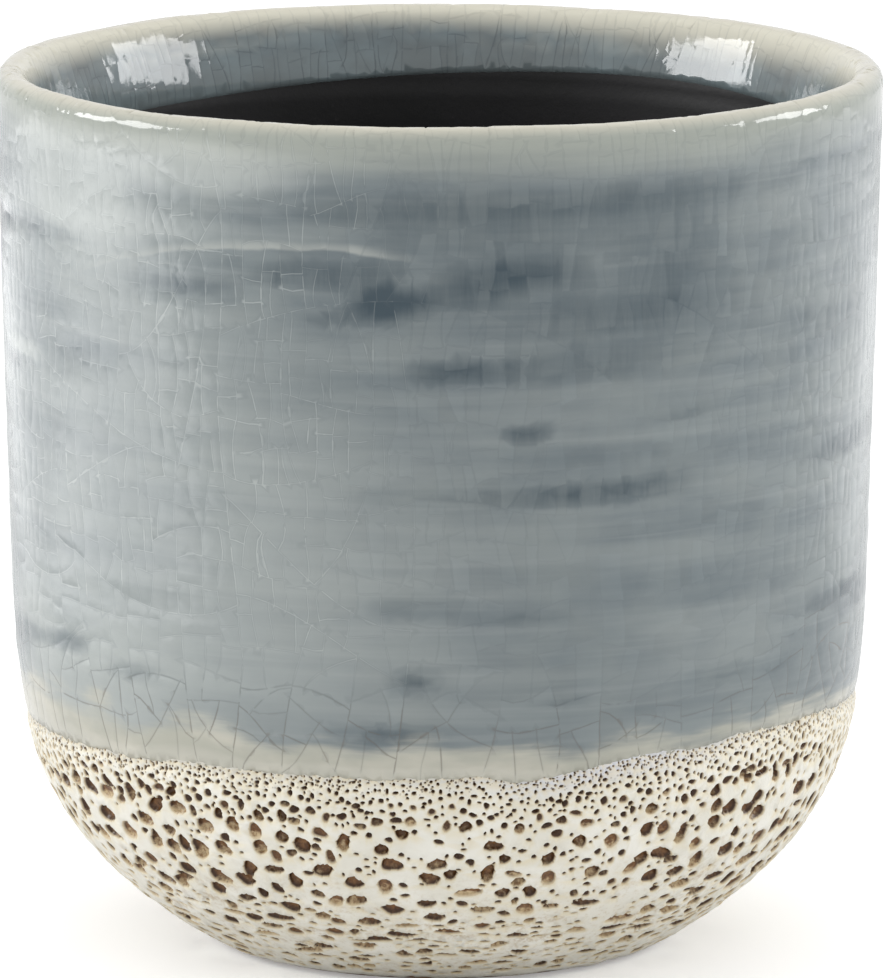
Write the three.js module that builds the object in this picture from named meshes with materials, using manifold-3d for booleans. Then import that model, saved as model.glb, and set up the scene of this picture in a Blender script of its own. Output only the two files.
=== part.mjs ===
// Flower pot: thrown stoneware with a blue-grey crackle glaze above, a white crater glaze below and a
// dark waterproof coat inside. Millimetres, +Z up, origin at the centre of the foot.
import * as THREE from 'three';
import { mergeVertices } from 'three/addons/utils/BufferGeometryUtils.js';
import Module from 'manifold-3d';

// Overall form
const rimDiameter = 140;
const potHeight = 140;
const footDiameter = 71;
const shoulderHeight = 63;
const wallDraft = 1.45;
const footAngle = 31;
const footHandle = 34;
const shoulderHandle = 31;

// Walls, lip and foot
const wallThickness = 7.5;
const rimThickness = 5;
const lipDepth = 11.5;
const floorHeight = 9;
const footRingWidth = 7;
const footRecess = 2;
const footChamfer = 0.6;

// Fired coats, and the seat that each keeps to its neighbour
const crackleCoat = 0.8;
const craterCoat = 1.1;
const innerCoat = 0.5;
const coatSeat = 0.1;
const glazeLine = 38;
const bareFoot = 1.6;

// Throwing rings in the crackle glaze
const ringPitch = 12;
const ringDepth = 0.35;
const ringMargin = 4;

// Craters in the white glaze, fine at the glaze line and coarse towards the foot
const craterCount = 80;
const fineCrater = 2.2;
const coarseCrater = 5.4;
const craterTaper = 0.65;
const craterMargin = 1.2;
const craterSides = 6;
const craterSeed = 20;

// Facets
const segments = 44;
const ringPoints = 4;
const lowerStations = 6;
const upperStations = 3;
const quarterPoints = 2;

const radians = THREE.MathUtils.degToRad;
const mix = THREE.MathUtils.lerp;

// The pot's outer skin: a curved belly from the foot to the shoulder, then a straight drafted wall
const rimRadius = rimDiameter / 2;
const rimRound = rimThickness / 2;
const wallTop = potHeight - rimRound;
const wallDirection = new THREE.Vector2(Math.sin(radians(wallDraft)), Math.cos(radians(wallDraft)));
const footEdge = new THREE.Vector2(footDiameter / 2, 0);
const footDirection = new THREE.Vector2(Math.cos(radians(footAngle)), Math.sin(radians(footAngle)));
const shoulderEdge = wallPoint(shoulderHeight);
const belly = new THREE.CubicBezierCurve(
  footEdge,
  footEdge.clone().addScaledVector(footDirection, footHandle),
  shoulderEdge.clone().addScaledVector(wallDirection, -shoulderHandle),
  shoulderEdge,
);

function wallPoint(height) {
  const drop = wallTop - height;
  return new THREE.Vector2(rimRadius - drop * Math.tan(radians(wallDraft)), height);
}

// Where a rising function reaches a value
function solve(rising, value, low, high) {
  for (let step = 0; step < 40; step += 1) {
    const middle = (low + high) / 2;
    if (rising(middle) < value) low = middle;
    else high = middle;
  }
  return (low + high) / 2;
}

// The point of the skin at a height, and the way out from the pot there
function skin(height) {
  if (height >= shoulderHeight) {
    return { point: wallPoint(height), out: new THREE.Vector2(wallDirection.y, -wallDirection.x) };
  }
  const t = solve((place) => belly.getPoint(place).y, height, 0, 1);
  const along = belly.getTangent(t);
  return { point: belly.getPoint(t), out: new THREE.Vector2(along.y, -along.x) };
}

// A point a given depth under the skin
function under(height, depth) {
  const { point, out } = skin(height);
  return point.addScaledVector(out, -depth);
}

function heights(from, to, count) {
  return Array.from({ length: count + 1 }, (_, index) => mix(from, to, index / count));
}

// Heights that every coat and the clay share, so that their facets lie parallel
const stations = [
  ...heights(bareFoot, glazeLine, lowerStations),
  ...heights(glazeLine, shoulderHeight, upperStations),
].sort((one, other) => one - other);

// The wall a given depth under the skin, from one height to another
function wall(from, to, depth) {
  const between = stations.filter((height, index) => (
    height > from + coatSeat && height < to - coatSeat && height !== stations[index - 1]
  ));
  return [from, ...between, to].map((height) => under(height, depth));
}

// The lip inside the rim: a straight flare that meets the round of the rim
const lipHeight = potHeight - lipDepth;
const rimCentre = new THREE.Vector2(rimRadius - rimRound, wallTop);
const lipFoot = under(lipHeight, wallThickness);
const lipReach = rimCentre.clone().sub(lipFoot);
const lipAngle = lipReach.angle() + Math.asin(rimRound / lipReach.length());
const lipOut = new THREE.Vector2(-Math.sin(lipAngle), Math.cos(lipAngle));

// The rim and the lip a given depth under the skin, from the outer wall to the foot of the lip
function rim(depth) {
  const crest = Math.PI / 2;
  const angles = [
    ...heights(0, crest, quarterPoints),
    ...heights(crest, lipOut.angle(), quarterPoints).slice(1),
  ];
  const round = angles.map((angle) => new THREE.Vector2(
    rimCentre.x + (rimRound - depth) * Math.cos(angle),
    rimCentre.y + (rimRound - depth) * Math.sin(angle),
  ));
  return [...round, lipFoot.clone().addScaledVector(lipOut, -depth)];
}

const clayDepth = crackleCoat + coatSeat;
const innerClayDepth = wallThickness - innerCoat - coatSeat;
const innerTop = lipFoot.y - crackleCoat * lipOut.y - coatSeat;
const innerFloor = floorHeight + coatSeat + innerCoat;

// The inner wall a given depth under the skin, from a level floor to the foot of the lip
function innerWall(depth, floor) {
  const beside = (level) => solve((height) => under(height, depth).y, level, 0, potHeight);
  return wall(beside(floor), beside(innerTop), depth);
}

function clayOutline() {
  const foot = under(bareFoot, clayDepth);
  const ringInside = footEdge.x - footRingWidth;
  return [
    new THREE.Vector2(0, footRecess),
    new THREE.Vector2(ringInside - footChamfer, footRecess),
    new THREE.Vector2(ringInside, 0),
    new THREE.Vector2(footEdge.x - footChamfer, 0),
    new THREE.Vector2(footEdge.x, Math.min(footChamfer, foot.y / 2)),
    ...wall(bareFoot, wallTop - rimRound, clayDepth),
    ...rim(clayDepth),
    ...innerWall(innerClayDepth, floorHeight).reverse(),
    new THREE.Vector2(0, floorHeight),
  ];
}

// The crackle glaze hangs over the rim: ringed outside, plain where it lies on the clay
function crackleOutline() {
  const first = glazeLine + ringMargin;
  const rings = Math.floor((wallTop - ringMargin - first) / ringPitch);
  const ringed = heights(first, first + rings * ringPitch, rings * ringPoints).map((height) => {
    const phase = (height - first) / ringPitch * Math.PI * 2;
    return under(height, ringDepth / 2 * (1 - Math.cos(phase)));
  });
  const back = [...wall(glazeLine, wallTop - rimRound, crackleCoat), ...rim(crackleCoat)];
  const edge = under(glazeLine, 0);
  return [edge, ...ringed, ...rim(0), ...back.reverse(), edge.clone()];
}

function craterOutline() {
  const top = glazeLine - coatSeat;
  const front = wall(bareFoot, top, crackleCoat - craterCoat);
  const back = wall(bareFoot, top, crackleCoat);
  return [...front, ...back.reverse(), front[0].clone()];
}

function innerOutline() {
  const backDepth = wallThickness - innerCoat;
  const backFloor = floorHeight + coatSeat;
  return [
    new THREE.Vector2(0, backFloor),
    ...innerWall(backDepth, backFloor),
    ...innerWall(wallThickness, innerFloor).reverse(),
    new THREE.Vector2(0, innerFloor),
  ];
}

// A turned body with its axis along Z
function turned(outline) {
  const geometry = new THREE.LatheGeometry(outline, segments);
  geometry.rotateX(Math.PI / 2);
  return geometry;
}

const wasm = await Module();
wasm.setup();

function solid(geometry) {
  geometry.deleteAttribute('normal');
  geometry.deleteAttribute('uv');
  const merged = mergeVertices(geometry);
  return new wasm.Manifold(new wasm.Mesh({
    numProp: 3,
    vertProperties: Float32Array.from(merged.attributes.position.array),
    triVerts: Uint32Array.from(merged.index.array),
  }));
}

function surfaceOf(body) {
  const mesh = body.getMesh();
  const geometry = new THREE.BufferGeometry();
  geometry.setAttribute('position', new THREE.BufferAttribute(mesh.vertProperties, 3));
  geometry.setIndex(new THREE.BufferAttribute(mesh.triVerts, 1));
  geometry.computeVertexNormals();
  return geometry;
}

// One crater: a tapered plug that goes through the white coat, square to the wall
function craterPlug({ angle, height, diameter, centre }) {
  const { out } = skin(height);
  const way = new THREE.Vector3(out.x * Math.cos(angle), out.x * Math.sin(angle), out.y);
  const mouth = diameter / 2;
  const plug = new THREE.CylinderGeometry(
    mouth * (2 - craterTaper),
    mouth * craterTaper,
    4 * craterCoat,
    craterSides,
  );
  plug.rotateY(angle + height);
  plug.applyQuaternion(new THREE.Quaternion().setFromUnitVectors(new THREE.Vector3(0, 1, 0), way));
  plug.translate(centre.x, centre.y, centre.z);
  return solid(plug);
}

// A repeatable stream of numbers between 0 and 1
function numbers(seed) {
  let state = seed;
  return () => {
    state = state * 48271 % 2147483647;
    return state / 2147483647;
  };
}

// Places for the craters, each clear of those before it
function craterPlaces() {
  const next = numbers(craterSeed);
  const low = bareFoot + craterMargin + coarseCrater / 2;
  const high = glazeLine - craterMargin - fineCrater / 2;
  const places = [];
  for (let attempt = 0; attempt < craterCount * 40 && places.length < craterCount; attempt += 1) {
    const angle = next() * Math.PI * 2;
    const rise = next();
    const diameter = mix(coarseCrater, fineCrater, rise) * mix(0.7, 1, next());
    const height = mix(low, high, rise);
    const { point } = skin(height);
    const centre = new THREE.Vector3(point.x * Math.cos(angle), point.x * Math.sin(angle), point.y);
    const clear = places.every((other) => (
      centre.distanceTo(other.centre) > (diameter + other.diameter) / 2 + craterMargin
    ));
    if (clear) places.push({ angle, height, diameter, centre });
  }
  return places;
}

function craterCoatSurface() {
  const coat = solid(turned(craterOutline()));
  const cut = craterPlaces().reduce((rest, place) => rest.subtract(craterPlug(place)), coat);
  return surfaceOf(cut);
}

const pot = new THREE.Group();

function add(name, geometry, color, roughness) {
  const mesh = new THREE.Mesh(geometry, new THREE.MeshStandardMaterial({ color, roughness, metalness: 0 }));
  mesh.name = name;
  pot.add(mesh);
}

add('clay_body', turned(clayOutline()), 0x6b4a33, 0.85);
add('crackle_glaze', turned(crackleOutline()), 0x8a979b, 0.15);
add('crater_glaze', craterCoatSurface(), 0xe6e2d3, 0.4);
add('inner_coat', turned(innerOutline()), 0x1d1b1b, 0.8);

export default pot;
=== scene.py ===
import math

import bmesh
import bpy
import numpy as np
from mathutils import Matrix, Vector
from mathutils.geometry import delaunay_2d_cdt


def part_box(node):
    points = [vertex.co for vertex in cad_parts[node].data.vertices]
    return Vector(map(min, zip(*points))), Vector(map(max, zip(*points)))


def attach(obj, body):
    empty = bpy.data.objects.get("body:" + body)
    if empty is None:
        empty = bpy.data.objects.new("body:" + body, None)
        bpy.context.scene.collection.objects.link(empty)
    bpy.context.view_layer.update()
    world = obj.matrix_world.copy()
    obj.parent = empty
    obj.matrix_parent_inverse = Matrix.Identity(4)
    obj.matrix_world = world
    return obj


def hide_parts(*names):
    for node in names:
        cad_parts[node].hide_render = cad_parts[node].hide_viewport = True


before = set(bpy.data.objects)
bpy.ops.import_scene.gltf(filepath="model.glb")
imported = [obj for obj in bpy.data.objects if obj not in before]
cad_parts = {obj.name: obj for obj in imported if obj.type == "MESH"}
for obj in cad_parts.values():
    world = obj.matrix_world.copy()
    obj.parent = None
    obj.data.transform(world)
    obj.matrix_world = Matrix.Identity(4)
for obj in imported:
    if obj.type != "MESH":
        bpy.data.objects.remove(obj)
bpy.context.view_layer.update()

# Lengths are in millimetres until they go into a mesh; places round the pot are in degrees from the front
MM = 0.001

# The pot's form; its outer sizes come from the frame
RIM_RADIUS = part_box("crackle_glaze")[1].x / MM
POT_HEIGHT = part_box("crackle_glaze")[1].z / MM
FOOT_RADIUS = 35.5
FOOT_ANGLE = math.radians(31)
FOOT_HANDLE = 34.0
SHOULDER_HEIGHT = 63.0
SHOULDER_HANDLE = 31.0
WALL_DRAFT = math.radians(1.45)
WALL_THICKNESS = 7.5
RIM_ROUND = 2.5
LIP_DEPTH = 11.5
LIP_TOP_TILT = math.radians(22)
LIP_FOOT_TILT = math.radians(8)
INNER_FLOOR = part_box("inner_coat")[0].z / MM + 0.5
FOOT_RING_WIDTH = 7.0
FOOT_RECESS = 2.0

# The fired coats and the seat that each keeps to the clay
CRACKLE_COAT = 0.8
CRATER_LIFT = 0.3
INNER_COAT = 0.5
COAT_SEAT = 0.1

# Height of the glaze line round the pot, in degrees from the front
LINE_HEIGHTS = {
    -90: 36.9, -61: 37.6, -53: 38.1, -46: 37.8, -35: 38.7, -25: 38.7, -16: 38.9, -8: 38.7, 1: 39.0, 6: 39.3,
    10: 38.1, 15: 38.7, 20: 39.8, 29: 41.0, 39: 40.7, 43: 41.9, 51: 41.8, 59: 42.0, 68: 41.2, 82: 40.2,
    130: 38.5, 180: 39.5, 230: 38.0,
}
MEAN_LINE = 38.0
LINE_BLUR = 9

# Throwing marks in the crackle glaze: degrees from the front, height, half length, half height and how
# much glaze pools there, where a negative amount is a ridge with little glaze; on the left side some broad
# negative entries are pale patches of painted sheen instead
STREAKS = [
    (4, 128.0, 50, 2.3, 0.45), (8, 124, 38, 3, 0.22), (11, 117.6, 7, 2.6, 0.75), (4, 115.6, 5, 3, 0.5),
    (-16, 117.1, 13, 2.3, 0.65),
    (-34, 114.2, 9, 2, 0.65), (-6, 113.4, 6, 1.9, 1.3), (-11, 110.8, 9, 1.2, 0.45), (-38, 128, 8, 4, 0.3),
    (24, 110.6, 15, 2.6, 0.32), (31, 116, 9, 9, 0.22), (3, 102.7, 8, 1.5, 0.75), (20, 103.4, 14, 2.2, 0.2),
    (11, 92.8, 4, 1.4, 0.55), (32, 94.2, 6, 1, 0.2), (19, 83.2, 17, 1.7, 0.7), (-2, 83.3, 10, 1.4, 0.3),
    (31, 86, 6, 1, 0.15), (-2.5, 66.3, 7, 1.6, 0.3), (12, 64.3, 9, 1.2, 0.32), (33, 65, 10, 1.2, 0.15),
    (-3, 54.7, 3.5, 1.3, 0.65), (15.5, 50.8, 7, 1.1, 0.32), (41, 52.3, 8, 1.1, 0.32), (50, 51.5, 5, 1, 0.3),
    (-7, 45.6, 8, 1.5, 0.6), (-55, 100, 10, 2.5, 0.4), (-58, 54, 6, 1.5, 0.45), (-45, 52, 6, 1.5, 0.35),
    # The broad pale entries on the left side, such as the one at -42 degrees and 88 mm and the one at -42
    # degrees and 54 mm, are painted sheen where the left lamp lights the wall
    (-42, 88, 38, 55, -0.25), (-10, 65, 28, 32, -0.2), (-50, 131, 26, 9, -0.45), (20, 110, 45, 13, 0.17),
    (-28, 132, 16, 6, -0.3), (-53, 46, 17, 11, -0.3), (-70, 53, 12, 11, -0.3), (40, 57, 20, 10, -0.2),
    (-52, 121, 12, 5, -0.25), (65, 105, 14, 5, 0.15), (-42, 54, 18, 13, -0.16), (50, 125, 10, 5, -0.25),
]
HIDDEN_STREAKS = 34
STREAK_SEED = 31

# A bare ridge in the shape of a low arch: where round the pot and how high its top is, and its bend
RIDGE_TURN = math.radians(-19)
RIDGE_TOP = 121.2
RIDGE_BEND = 21.0

# The crackle net, laid out flat at the rim's radius: cells that split again and again
NET_SEED = 7
NET_WIDTH = 2 * math.pi * RIM_RADIUS
NET_STRIPS = 7
NET_STEP = 1.8
NET_SNAP = 0.06
EDGE_POINTS = 700
SPLIT_TRIES = 8
LEAST_SHARE = 0.25
CELL_TILT = 0.0028

# The area of the cells by the height above the glaze line, and how much of a cell's height counts when it
# splits, so that cells are tall near the rim
CELL_AREAS = {0: 30, 12: 27, 30: 15, 85: 13.5, 116: 13}
HEIGHT_SHARES = {0: 1, 16: 0.95, 34: 0.72, 60: 0.62, 90: 0.5, 116: 0.42}

# The cracks, and the marks of a point where two of them cross: crack, groove, tone, flow and tilt
CRACK_DEPTH = 0.04
CRACK_FLANK = 0.28
CROSSING_MARKS = (0.7, 0.7, 0, 1, 0)
SEAM_STRENGTH = 0.85
NARROWEST = 0.15
STEEPEST = 0.22
EASING_ROUNDS = 30

# The hem of the crackle glaze inside the lip; it ends past the foot of the lip, but higher at the back
HEM_WIDTH = 0.9
HEM_DIP = 0.75
HEM_LOWEST = 3.0
HEM_RISE = 4.0
HEM_TOP_AT = 155
HEM_TOP_WIDTH = 45

# The craters, laid out flat on a plane that keeps circles round
CRATER_SEED = 23
CRATER_PLANE = 60.0
CRATER_ATTEMPTS = 15000
CRATER_DEPTH = 0.98
CRATER_TOP = 46.5
CRATER_FOOT = 0.6
FOOT_STRIP = 2.2
CRATER_LOBES = (0.22, 0.13, 0.07)
SEARCH_BOX = 9
GRID_COLUMNS = 200
GRID_ROWS = 30
SIDE_POINTS = 150
ROW_POINTS = 240

# The least and the greatest radius of a crater by its distance below the glaze line
SMALLEST_RADII = {0: 0.24, 0.8: 0.25, 2: 0.3, 5: 0.34, 12: 0.36, 30: 0.4}
LARGEST_RADII = {0: 0.34, 0.8: 0.4, 2: 0.52, 4: 0.75, 7: 1.15, 11: 1.6, 18: 1.9, 30: 1.8, 48: 1.4}

# The turned pieces and the light
TURN_SEGMENTS = 144
SOFTBOX_DISTANCE = 1.2
SOFTBOX_ELEVATION = math.radians(21)
SOFTBOX_HEIGHT = 0.31
GLOW_WIDTH = 0.58
GLOW_LEVEL = 0.004


def bezier(points, places):
    """Points of a Bezier curve at places between 0 and 1."""
    runs = [np.tile(np.asarray(point, float), (len(places), 1)) for point in points]
    share = np.asarray(places, float)[:, None]
    while len(runs) > 1:
        runs = [(1 - share) * one + share * other for one, other in zip(runs, runs[1:])]
    return runs[0]


def leaning(tilt):
    """The way up a wall that leans outwards by an angle."""
    return np.array([math.sin(tilt), math.cos(tilt)])


def meeting(start, way, end, back):
    """Where the line from start along way meets the line from end along back."""
    reach = np.linalg.solve(np.column_stack([way, -back]), end - start)
    return start + reach[0] * way


def smooth(value, low, high):
    """0 below low, 1 above high, and a soft step between them."""
    share = np.clip((np.asarray(value, float) - low) / (high - low), 0, 1)
    return share * share * (3 - 2 * share)


def bell(value, middle, width):
    """1 at the middle, falling off softly on both sides."""
    return np.exp(-((value - middle) / width) ** 2)


def between(value, low, full, last, high):
    """A soft step up from low to full, and down again from last to high."""
    return smooth(value, low, full) * (1 - smooth(value, last, high))


def read_off(value, table, period=None):
    """A value between the entries of a table."""
    return np.interp(value, list(table), list(table.values()), period=period)


def turned_from(angle, degrees):
    """How far angles lie from a place round the pot, the short way."""
    return np.angle(np.exp(1j * (angle - math.radians(degrees))))


class Outline:
    """A run of points of radius and height, read by the distance along it."""

    def __init__(self, points):
        self.points = np.asarray(points, float)
        steps = np.linalg.norm(np.diff(self.points, axis=0), axis=1)
        self.along = np.concatenate([[0], np.cumsum(steps)])

    def at(self, along):
        radius = np.interp(along, self.along, self.points[:, 0])
        height = np.interp(along, self.along, self.points[:, 1])
        return np.stack([radius, height])

    def out(self, along):
        """The way out of the clay, which lies to the left of the run."""
        run = self.at(np.asarray(along) + 0.2) - self.at(np.asarray(along) - 0.2)
        run /= np.maximum(np.linalg.norm(run, axis=0), 1e-9)
        return np.stack([run[1], -run[0]])

    def inset(self, along, depth):
        return (self.at(along) - self.out(along) * depth).T


# The skin of the pot from the foot up the wall, over the rim and down to the inner floor
wall_top = POT_HEIGHT - RIM_ROUND
shoulder = np.array([RIM_RADIUS - (wall_top - SHOULDER_HEIGHT) * math.tan(WALL_DRAFT), SHOULDER_HEIGHT])
foot_edge = np.array([FOOT_RADIUS, 0.0])
belly_handles = [
    foot_edge + FOOT_HANDLE * np.array([math.cos(FOOT_ANGLE), math.sin(FOOT_ANGLE)]),
    shoulder - SHOULDER_HANDLE * leaning(WALL_DRAFT),
]
belly = bezier([foot_edge, *belly_handles, shoulder], np.linspace(0, 1, 90))
wall = np.linspace(shoulder, (RIM_RADIUS, wall_top), 60)[1:]
OUTSIDE = Outline(np.vstack([belly, wall]))


def along_at(height):
    """The distance along the skin to a height on the outside."""
    return np.interp(height, OUTSIDE.points[:, 1], OUTSIDE.along)


def rim_and_lip():
    centre = np.array([RIM_RADIUS - RIM_ROUND, wall_top])
    turn = np.linspace(0, math.pi - LIP_TOP_TILT, 30)[1:]
    round_edge = centre + RIM_ROUND * np.column_stack([np.cos(turn), np.sin(turn)])
    lip_foot = OUTSIDE.inset(along_at([POT_HEIGHT - LIP_DEPTH]), WALL_THICKNESS)[0]
    start = round_edge[-1]
    handle = meeting(start, -leaning(LIP_TOP_TILT), lip_foot, leaning(LIP_FOOT_TILT))
    return np.vstack([round_edge, bezier([start, handle, lip_foot], np.linspace(0, 1, 24))[1:]])


def inner_wall(depth, floor):
    """The inner wall a depth under the outside, from the foot of the lip down to a floor."""
    places = np.linspace(along_at(POT_HEIGHT - LIP_DEPTH), 0, 110)[1:]
    points = OUTSIDE.inset(places, depth)
    points = points[points[:, 1] > floor + 0.4]
    corner = (np.interp(floor, points[::-1, 1], points[::-1, 0]) - 0.8, floor)
    return np.vstack([points, corner])


lip = rim_and_lip()
SKIN = Outline(np.vstack([OUTSIDE.points, lip, inner_wall(WALL_THICKNESS, INNER_FLOOR)]))
CREST_ALONG = SKIN.along[SKIN.points[:, 1].argmax()]
LIP_ALONG = SKIN.along[len(OUTSIDE.points) + len(lip) - 1]


def on_pot(angle, along, lift):
    """Points in metres at angles from the front, distances along the skin and lifts off it."""
    radius, height = SKIN.at(along) + SKIN.out(along) * lift
    return np.column_stack([radius * np.sin(angle), -radius * np.cos(angle), height]) * MM


def lumps(points, size, seed):
    """A soft random relief of about -1 to 1, of lumps of one size, at points in metres."""
    rng = np.random.default_rng(seed)
    ways = rng.normal(size=(16, 3))
    ways *= (2 * math.pi / (size * MM) * rng.uniform(0.6, 1.4, 16) / np.linalg.norm(ways, axis=1))[:, None]
    return np.sin(points @ ways.T + rng.uniform(0, 2 * math.pi, 16)).mean(axis=1) * 2.4


def glaze_line(angle):
    """The distance along the skin to the glaze line, at angles from the front."""
    ring = np.arange(-180, 180, 0.5)
    heights = read_off(ring, LINE_HEIGHTS, 360)
    blur = np.hanning(LINE_BLUR) / np.hanning(LINE_BLUR).sum()
    heights = np.convolve(np.pad(heights, LINE_BLUR // 2, mode="wrap"), blur, mode="valid")
    return along_at(np.interp(np.degrees(angle), ring, heights, period=360))


def ragged(angle):
    """How far the edge of the crackle glaze strays from the glaze line."""
    stray = 0.26 * np.sin(67 * angle + 3 * np.sin(23 * angle)) * np.sin(31 * angle)
    return stray + 0.14 * np.sin(173 * angle + 2 * np.sin(59 * angle))


def triangulate(points, edges, snap=1e-5):
    """Triangles between flat points that keep the edges; also tells which point each corner was."""
    corners, _, faces, sources, _, _ = delaunay_2d_cdt(
        [Vector(point) for point in points], edges, [], 1, snap, True)
    places = np.array([corner[:] for corner in corners])
    return places, faces, np.array([min(found) if found else -1 for found in sources])


def chained(runs):
    """Edges that join the points of each run, for runs that are stacked one after the other."""
    edges = []
    first = 0
    for run in runs:
        edges += [(corner, corner + 1) for corner in range(first, first + len(run) - 1)]
        first += len(run)
    return edges


def row_at(places, level):
    """The corners on a level edge of a flat sheet, from left to right."""
    found = np.flatnonzero(np.abs(places[:, 1] - level) < 1e-4)
    return found[places[found, 0].argsort()]


def backing(low_row, high_row, height):
    """A coarse sheet with the same corners as a fine one along its two level edges."""
    width = low_row[-1] - low_row[0]
    sides = np.linspace(0, 1, 14)[1:-1]
    left = np.column_stack([low_row[0] + sides * (high_row[0] - low_row[0]), sides * height])
    right = left + (width, 0)
    filling = np.vstack([left + (share * width, 0) for share in np.linspace(0, 1, 74)[1:-1]])
    low_edge = np.column_stack([low_row, np.zeros(len(low_row))])
    high_edge = np.column_stack([high_row, np.full(len(high_row), height)])
    runs = [low_edge, high_edge, np.vstack([low_edge[:1], left, high_edge[:1]]),
            np.vstack([low_edge[-1:], right, high_edge[-1:]])]
    places, faces, _ = triangulate(np.vstack([*runs, filling]), chained(runs))
    middles = places[np.array(faces)].mean(axis=1)
    past_side = middles[:, 0] - np.interp(middles[:, 1], [0, height], [low_row[0], high_row[0]])
    kept = (past_side > 1e-4) & (past_side < width - 1e-4)
    return places, np.array(faces)[kept].tolist()


def coat(name, sheet, lay_out, lift, marks):
    """A closed fired coat: a flat sheet lifted off the pot's skin, the marks of its points and a backing."""
    places, faces, height = sheet
    rows = [row_at(places, level) for level in (0, height)]
    back_places, back_faces = backing(places[rows[0], 0], places[rows[1], 0], height)
    back_rows = [row_at(back_places, level) for level in (0, height)]
    front = on_pot(*lay_out(places), lift)
    back = on_pot(*lay_out(back_places), -CRACKLE_COAT)
    first = len(front)
    joined = [tuple(face) for face in faces]
    joined += [tuple(first + corner for corner in reversed(face)) for face in back_faces]
    for row, back_row in zip(rows, back_rows):
        joined += zip(row, row[1:], first + back_row[1:], first + back_row[:-1])
    mesh = bpy.data.meshes.new(name)
    mesh.from_pydata(np.vstack([front, back]), [], joined)
    for title, values in marks.items():
        layer = mesh.attributes.new(title, "FLOAT", "POINT")
        filled = np.concatenate([values, np.zeros(len(back))])
        layer.data.foreach_set("value", filled.astype(np.float32))
    return welded(mesh)


def welded(mesh):
    """Joins the seam of a closed mesh, turns its faces outwards and shades it smooth."""
    work = bmesh.new()
    work.from_mesh(mesh)
    bmesh.ops.remove_doubles(work, verts=work.verts, dist=0.0005 * MM)
    bmesh.ops.recalc_face_normals(work, faces=work.faces)
    work.to_mesh(mesh)
    work.free()
    mesh.shade_smooth()
    return mesh


def signed_area(cell):
    across, up = cell.T
    return (np.dot(across, np.roll(up, -1)) - np.dot(up, np.roll(across, -1))) / 2


def wander(rng, count, size):
    """A smooth random path that starts and ends near zero."""
    path = rng.normal(0, 1, count).cumsum()
    path -= np.linspace(path[0], path[-1], count)
    return np.convolve(np.pad(path, 4, mode="edge"), np.ones(9) / 9, mode="valid") * size


def turned_by(way, angle):
    return np.array([way[0] * math.cos(angle) - way[1] * math.sin(angle),
                     way[0] * math.sin(angle) + way[1] * math.cos(angle)])


def cut_line(cell, rng):
    """A point and a way for the next crack through a cell."""
    low, high = cell.min(axis=0), cell.max(axis=0)
    middle = (low + high) / 4 + cell.mean(axis=0) / 2
    if rng.uniform() > smooth(middle[1], 6, 26):
        spread = cell - cell.mean(axis=0)
        sizes, axes = np.linalg.eigh(spread.T @ spread)
        longest = axes[:, 1] * math.sqrt(sizes[1] / len(cell))
        start = middle + longest * rng.uniform(-0.4, 0.4)
        return start, turned_by(axes[:, 1], math.pi / 2 + rng.normal(0, 0.15))
    wide, tall = high - low
    if tall * read_off(middle[1], HEIGHT_SHARES) > wide * rng.uniform(0.85, 1.2):
        lean = rng.normal(0, 0.1 + 0.18 * smooth(wide, 8, 25))
        return middle + (0, tall * rng.uniform(-0.16, 0.16)), turned_by((1, 0), lean)
    return middle + (wide * rng.uniform(-0.16, 0.16), 0), turned_by((0, 1), rng.normal(0, 0.1))


def split(cell, rng):
    """Cuts a cell by a crack that meets both of its sides nearly square."""
    start, across = cut_line(cell, rng)
    side = (cell - start) @ np.array([-across[1], across[0]])
    after = np.roll(side, -1)
    crossing = np.flatnonzero(side * after < 0)
    if len(crossing) != 2:
        return None
    run = np.roll(cell, -1, axis=0)[crossing] - cell[crossing]
    share = side[crossing] / (side[crossing] - after[crossing])
    ends = cell[crossing] + share[:, None] * run
    inward = np.column_stack([-run[:, 1], run[:, 0]]) / np.linalg.norm(run, axis=1)[:, None]
    length = np.linalg.norm(ends[1] - ends[0])
    chord = (ends[1] - ends[0]) / length
    ways = inward * 0.7 + np.array([chord, -chord]) * 0.45
    ways /= np.linalg.norm(ways, axis=1)[:, None]
    handles = ends + ways * length * rng.uniform(0.2, 0.36, (2, 1))
    handles += turned_by(chord, math.pi / 2) * length * rng.normal(0, 0.09 if length > 14 else 0.05)
    count = max(2, math.ceil(length / NET_STEP))
    path = bezier([ends[0], *handles, ends[1]], np.linspace(0, 1, count + 1))
    if count > 4:
        path += turned_by(chord, math.pi / 2) * wander(rng, count + 1, 0.05)[:, None]
        path[[0, -1]] = ends
    between = (path[1:] + path[:-1]) / 2
    if not inside(np.vstack([path[1:-1], between]), cell).all():
        return None
    low, high = crossing
    first = np.vstack([path[:1], cell[low + 1:high + 1], path[:0:-1]])
    second = np.vstack([path[-1:], cell[high + 1:], cell[:low + 1], path[:-1]])
    return path, first, second


def crackle_net(rng, height):
    """The cracks and the cells between them on a flat band that joins up round the pot."""
    rows = np.linspace(0, height, int(height / NET_STEP) + 1)
    walls = []
    for index in range(NET_STRIPS):
        drift = wander(rng, len(rows), 0.6) + rng.uniform(-9, 9)
        walls.append(np.column_stack([NET_WIDTH * index / NET_STRIPS + drift, rows]))
    walls.append(walls[0] + (NET_WIDTH, 0))
    cracks = walls[1:-1]
    waiting = [np.vstack([one[::-1], other]) for one, other in zip(walls, walls[1:])]
    cells = []
    while waiting:
        cell = waiting.pop()
        area = signed_area(cell)
        made = None
        if area > read_off(cell[:, 1].mean(), CELL_AREAS) * rng.uniform(0.75, 2.1):
            tries = (split(cell, rng) for _ in range(SPLIT_TRIES))
            fair = (cut for cut in tries if cut and min(map(signed_area, cut[1:])) > LEAST_SHARE * area)
            made = next(fair, None)
        if made:
            cracks.append(made[0])
            waiting += made[1:]
        else:
            cells.append(cell)
    return walls[0], cracks, cells


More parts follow.
